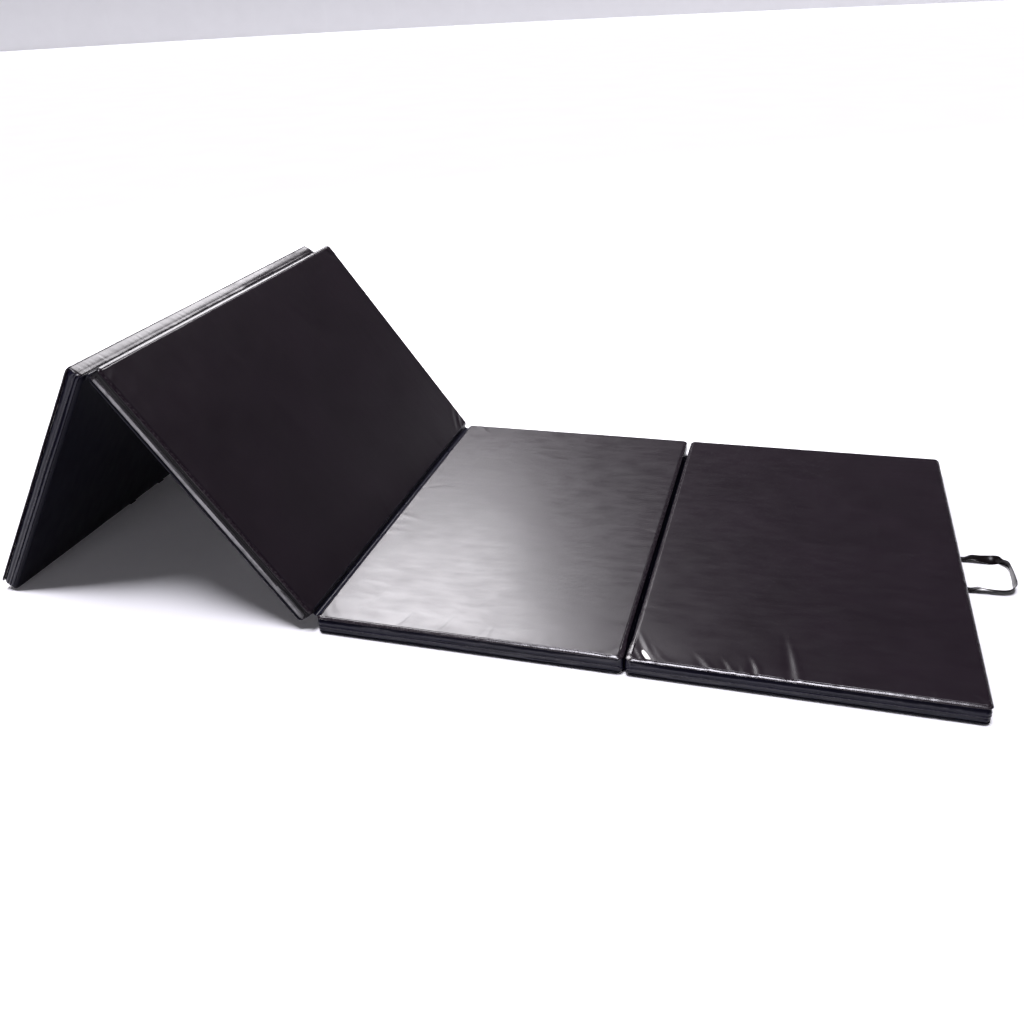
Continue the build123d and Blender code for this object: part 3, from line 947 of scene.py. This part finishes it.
def vinyl(name, dark, light, rough_low, rough_high, specular, coat, streak_depth=0.12):
    """Glossy black sheet vinyl: leather grain, faint rolling streaks, scuffs, and rubbed edges made
    lighter, partly by use and partly as a painted sheen.
    """
    material, nodes, shader = new_material(name)
    uv = nodes.new("ShaderNodeTexCoord").outputs["UV"]
    wear_and_sheen = nodes.new("ShaderNodeAttribute")
    wear_and_sheen.attribute_name = "wear_and_sheen"
    wear_and_sheen = wear_and_sheen.outputs["Fac"]
    base = ramp(nodes, texture(nodes, uv, NOISE, 5.0, detail=4.0), dark, light)
    scuffs = texture(nodes, uv, NOISE, 160.0, detail=5.0)
    # rubbed places turn lighter grey, partly by use and partly as a painted sheen; they also turn glossier
    rubbed_and_sheen = calculate(nodes, "MULTIPLY", wear_and_sheen, ramp(nodes, scuffs, grey(0), grey(1), 0.45))
    join(toward(nodes, rubbed_and_sheen, base, (0.045, 0.040, 0.043)), shader, "Base Color")
    streaks = texture(nodes, uv, NOISE, 9.0, (1.3, 4.6, 1.0), 3.0)
    patches = texture(nodes, uv, NOISE, 14.0, detail=3.0)
    patchy = calculate(nodes, "MULTIPLY", patches, 0.4)
    blend = calculate(nodes, "MULTIPLY_ADD", streaks, 0.6, patchy)
    rough = ramp(nodes, blend, grey(rough_low), grey(rough_high))
    join(toward(nodes, wear_and_sheen, rough, grey(0.2)), shader, "Roughness")
    grain = bump(nodes, texture(nodes, uv, VORONOI, 620.0), 0.00012, 0.35)
    fine_grain = bump(nodes, texture(nodes, uv, NOISE, 900.0), 0.00006, 0.3, grain)
    join(bump(nodes, streaks, 0.0016, streak_depth, fine_grain), shader, "Normal")
    shader.inputs["IOR"].default_value = 1.5
    shader.inputs["Specular IOR Level"].default_value = specular
    shader.inputs["Coat Weight"].default_value = coat
    shader.inputs["Coat Roughness"].default_value = 0.2
    return material


def woven(name, dark, light):
    """Tape with two slanting sets of ridges."""
    material, nodes, shader = new_material(name)
    uv = nodes.new("ShaderNodeTexCoord").outputs["UV"]
    heights = []
    for turn in (math.radians(38), math.radians(-38)):
        mapping = nodes.new("ShaderNodeMapping")
        mapping.inputs["Rotation"].default_value = (0, 0, turn)
        join(uv, mapping, "Vector")
        wave = nodes.new("ShaderNodeTexWave")
        wave.inputs["Scale"].default_value = 420.0
        wave.inputs["Distortion"].default_value = 0.6
        join(mapping.outputs["Vector"], wave, "Vector")
        heights.append(wave.outputs["Fac"])
    ridges = calculate(nodes, "MAXIMUM", *heights)
    join(ramp(nodes, ridges, dark, light, 0.2, 0.9), shader, "Base Color")
    join(bump(nodes, ridges, 0.0002, 0.8), shader, "Normal")
    shader.inputs["Roughness"].default_value = 0.85
    shader.inputs["Sheen Weight"].default_value = 0.3
    return material


def plain_detail(name, dark, light, rough_low, rough_high, metallic, scale, depth):
    """Moulded plastic, painted metal, thread or foam, with one cloudy texture of this scale."""
    material, nodes, shader = new_material(name)
    coords = nodes.new("ShaderNodeTexCoord").outputs["Object"]
    cloud = texture(nodes, coords, NOISE, scale, detail=4.0)
    join(ramp(nodes, cloud, dark, light), shader, "Base Color")
    join(ramp(nodes, cloud, grey(rough_low), grey(rough_high)), shader, "Roughness")
    join(bump(nodes, cloud, depth, 0.5), shader, "Normal")
    shader.inputs["Metallic"].default_value = metallic
    return material


COVER_DARK, COVER_LIGHT = (0.0074, 0.0044, 0.0071), (0.0101, 0.0061, 0.0097)
# dark and light colour, low and high roughness, specular level, coat, depth of the streaks;
# panel 2 is the most used, and its scuffed surface spreads the light further
VINYLS = {
    "cover_vinyl_1": (COVER_DARK, COVER_LIGHT, 0.31, 0.41, 0.32, 0.06),
    "cover_vinyl_2": (COVER_DARK, COVER_LIGHT, 0.32, 0.44, 0.56, 0.14, 0.14),
    "cover_vinyl_3": (COVER_DARK, COVER_LIGHT, 0.34, 0.42, 0.26, 0.04),
    "cover_vinyl_4": (COVER_DARK, COVER_LIGHT, 0.34, 0.42, 0.45, 0.15),
    "edge_vinyl": (COVER_DARK, COVER_LIGHT, 0.24, 0.30, 0.42, 0.1),
    "soft_edge_vinyl": (COVER_DARK, COVER_LIGHT, 0.24, 0.32, 0.22, 0.0),
    # the undersides are darker and bluer than the tops: painted shade
    "shaded_under_vinyl": ((0.0015, 0.0014, 0.0040), (0.0022, 0.0020, 0.0055), 0.40, 0.48, 0.07, 0.0),
    # the side bands and hinge strips are darker and bluer than the covers: painted shade with a painted
    # blue cast
    "shaded_band_vinyl": ((0.0036, 0.0034, 0.0085), (0.0058, 0.0054, 0.0130), 0.24, 0.36, 0.20, 0.0, 0.8),
    # panel 3's lower band, lighter than the other bands and glossier: painted sheen
    "painted_sheen_band_vinyl": ((0.0060, 0.0052, 0.0066), (0.0090, 0.0076, 0.0096), 0.28, 0.38, 0.6, 0.6),
    # the strip across panel 4's hinged end, lighter than the other bands: painted sheen
    "head_band_painted_sheen_vinyl": ((0.0085, 0.0065, 0.0088), (0.0115, 0.0090, 0.0118), 0.24, 0.32, 0.22, 0.0),
    # panel 3's upper band, darker still: painted shade
    "deep_shade_band_vinyl": ((0.0022, 0.0019, 0.0028), (0.0036, 0.0032, 0.0042), 0.28, 0.38, 0.08, 0.0, 0.8),
    "strap_vinyl": ((0.0036, 0.0026, 0.0030), (0.0062, 0.0042, 0.0048), 0.24, 0.32, 0.14, 0.0),
}
vinyls = {name: vinyl(name, *look) for name, look in VINYLS.items()}
tape_cloth = woven("zip_tape_cloth", (0.006, 0.006, 0.007), (0.028, 0.027, 0.030))
teeth_plastic = plain_detail("zip_teeth_plastic", (0.018,) * 3, (0.032,) * 3, 0.28, 0.42, 0.0, 900, 0.00002)
dark_metal = plain_detail("zip_painted_metal", (0.055,) * 3, (0.075,) * 3, 0.28, 0.38, 0.9, 700, 0.00002)
thread = plain_detail("thread", (0.012,) * 3, (0.024,) * 3, 0.45, 0.6, 0.0, 1500, 0.00005)
foam_material = plain_detail("foam", (0.72, 0.71, 0.66), (0.86, 0.85, 0.80), 0.85, 0.95, 0.0, 500, 0.0004)

# ---- build
for number in TILTS:
    edge, upper, lower, end = "edge_vinyl", "shaded_band_vinyl", "shaded_band_vinyl", None
    # panel 3's upper band takes a deeper painted shade and its lower band a painted sheen
    if number == 3:
        edge, upper, lower = "soft_edge_vinyl", "deep_shade_band_vinyl", "painted_sheen_band_vinyl"
    # panel 4's hinged end strip takes a painted sheen
    if number == 4:
        end = vinyls["head_band_painted_sheen_vinyl"]
    foam(number, foam_material)
    cover(number, "top", vinyls[f"cover_vinyl_{number}"], vinyls[edge])
    # the bottom covers carry the undersides' painted shade
    cover(number, "bottom", vinyls["shaded_under_vinyl"])
    band(number, "upper", UPPER_BAND, vinyls[upper], end)
    band(number, "lower", LOWER_BAND, vinyls[lower])
    lap_stitching(number, thread)
    zip_tapes(number, tape_cloth)
    tape_stitching(number, thread)
    zip_teeth(number, teeth_plastic)
    zip_metal_parts(number, dark_metal)

# the hinge strips share the bands' painted shade
hinge_web(2, 1, 1, "bottom", vinyls["shaded_band_vinyl"])
hinge_web(2, -1, 3, "top", vinyls["shaded_band_vinyl"])
hinge_web(3, -1, 4, "bottom", vinyls["shaded_band_vinyl"])
handle(1, vinyls["strap_vinyl"])
handle(4, vinyls["strap_vinyl"])


# ---- studio
def floor_and_backdrop():
    """A pale floor, and a low round wall far away that joins it to the backdrop."""
    mesh = bpy.data.meshes.new("floor")
    reach = 60.0
    corners = [(-reach, -reach, 0), (reach, -reach, 0), (reach, reach, 0), (-reach, reach, 0)]
    mesh.from_pydata(corners, [], [(0, 1, 2, 3)])
    floor = bpy.data.objects.new("floor", mesh)
    scene.collection.objects.link(floor)
    material, nodes, shader = new_material("floor_paper")
    coords = nodes.new("ShaderNodeTexCoord").outputs["Object"]
    cloud = texture(nodes, coords, NOISE, 1.5)
    join(ramp(nodes, cloud, grey(0.93), grey(0.95)), shader, "Base Color")
    shader.inputs["Roughness"].default_value = 0.9
    shader.inputs["Specular IOR Level"].default_value = 0.0
    mesh.materials.append(material)
    wall = bpy.data.meshes.new("backdrop")
    radius, count = 55, 96
    turns = np.linspace(0, 2 * math.pi, count + 1)[:-1]
    ring = [(radius * math.cos(a), radius * math.sin(a), z) for z in (-0.1, 5.0) for a in turns]
    nxt = [(k + 1) % count for k in range(count)]
    wall.from_pydata(ring, [], [(k, nxt[k], count + nxt[k], count + k) for k in range(count)])
    wall.materials.append(material)
    backdrop = bpy.data.objects.new("backdrop", wall)
    scene.collection.objects.link(backdrop)


def add_light(name, kind, direction, power, colour):
    """A light that shines in this direction."""
    data = bpy.data.lights.new(name, kind)
    data.energy = power
    data.color = colour
    light = bpy.data.objects.new(name, data)
    scene.collection.objects.link(light)
    light.rotation_mode = "QUATERNION"
    light.rotation_quaternion = Vector(direction).to_track_quat("-Z", "Y")
    return light


def softbox(name, place, target, width, height, power, colour):
    """A rectangular light at a place, aimed at a target."""
    light = add_light(name, "AREA", Vector(target) - Vector(place), power, colour)
    light.location = place
    light.data.shape = "RECTANGLE"
    light.data.size = width
    light.data.size_y = height


floor_and_backdrop()
world = bpy.data.worlds.new("studio")
scene.world = world
world.use_nodes = True
sky = world.node_tree.nodes["Background"].inputs
sky["Color"].default_value = (0.94, 0.93, 1.0, 1)
sky["Strength"].default_value = 0.05

softbox("back_left_softbox", (-1.77, 2.43, 3.15), (0.0, 0.0, 0.1), 2.33, 2.3, 256, (0.985, 0.96, 1.0))
softbox("front_softbox", (-0.2, -5.2, 0.85), (-0.2, 0, 0.3), 4.0, 1.6, 100, (0.95, 0.91, 1.0))
floor_light = add_light("floor_light", "SUN", (0.04, 0.12, -1), 3.3, (0.985, 0.965, 1.06))
floor_light.data.angle = math.radians(19)

# ---- camera
CAMERA_PLACE = (0.6903, -2.3540, 1.3818)
CAMERA_LENS = 33.92
yaw, pitch, roll = (math.radians(a) for a in (-17.473, 28.244, -2.930))
ahead = math.cos(pitch)
forward = Vector((math.sin(yaw) * ahead, math.cos(yaw) * ahead, -math.sin(pitch)))
level_right = Vector((math.cos(yaw), -math.sin(yaw), 0))
level_up = level_right.cross(forward)
right = level_right * math.cos(roll) + level_up * math.sin(roll)
up = level_up * math.cos(roll) - level_right * math.sin(roll)
camera_data = bpy.data.cameras.new("camera")
camera_data.sensor_width = 36.0
camera_data.lens = CAMERA_LENS
camera = bpy.data.objects.new("camera", camera_data)
scene.collection.objects.link(camera)
turn = Matrix((right, up, -forward)).transposed().to_4x4()
camera.matrix_world = Matrix.Translation(CAMERA_PLACE) @ turn
scene.camera = camera
scene.view_settings.view_transform = "Standard"
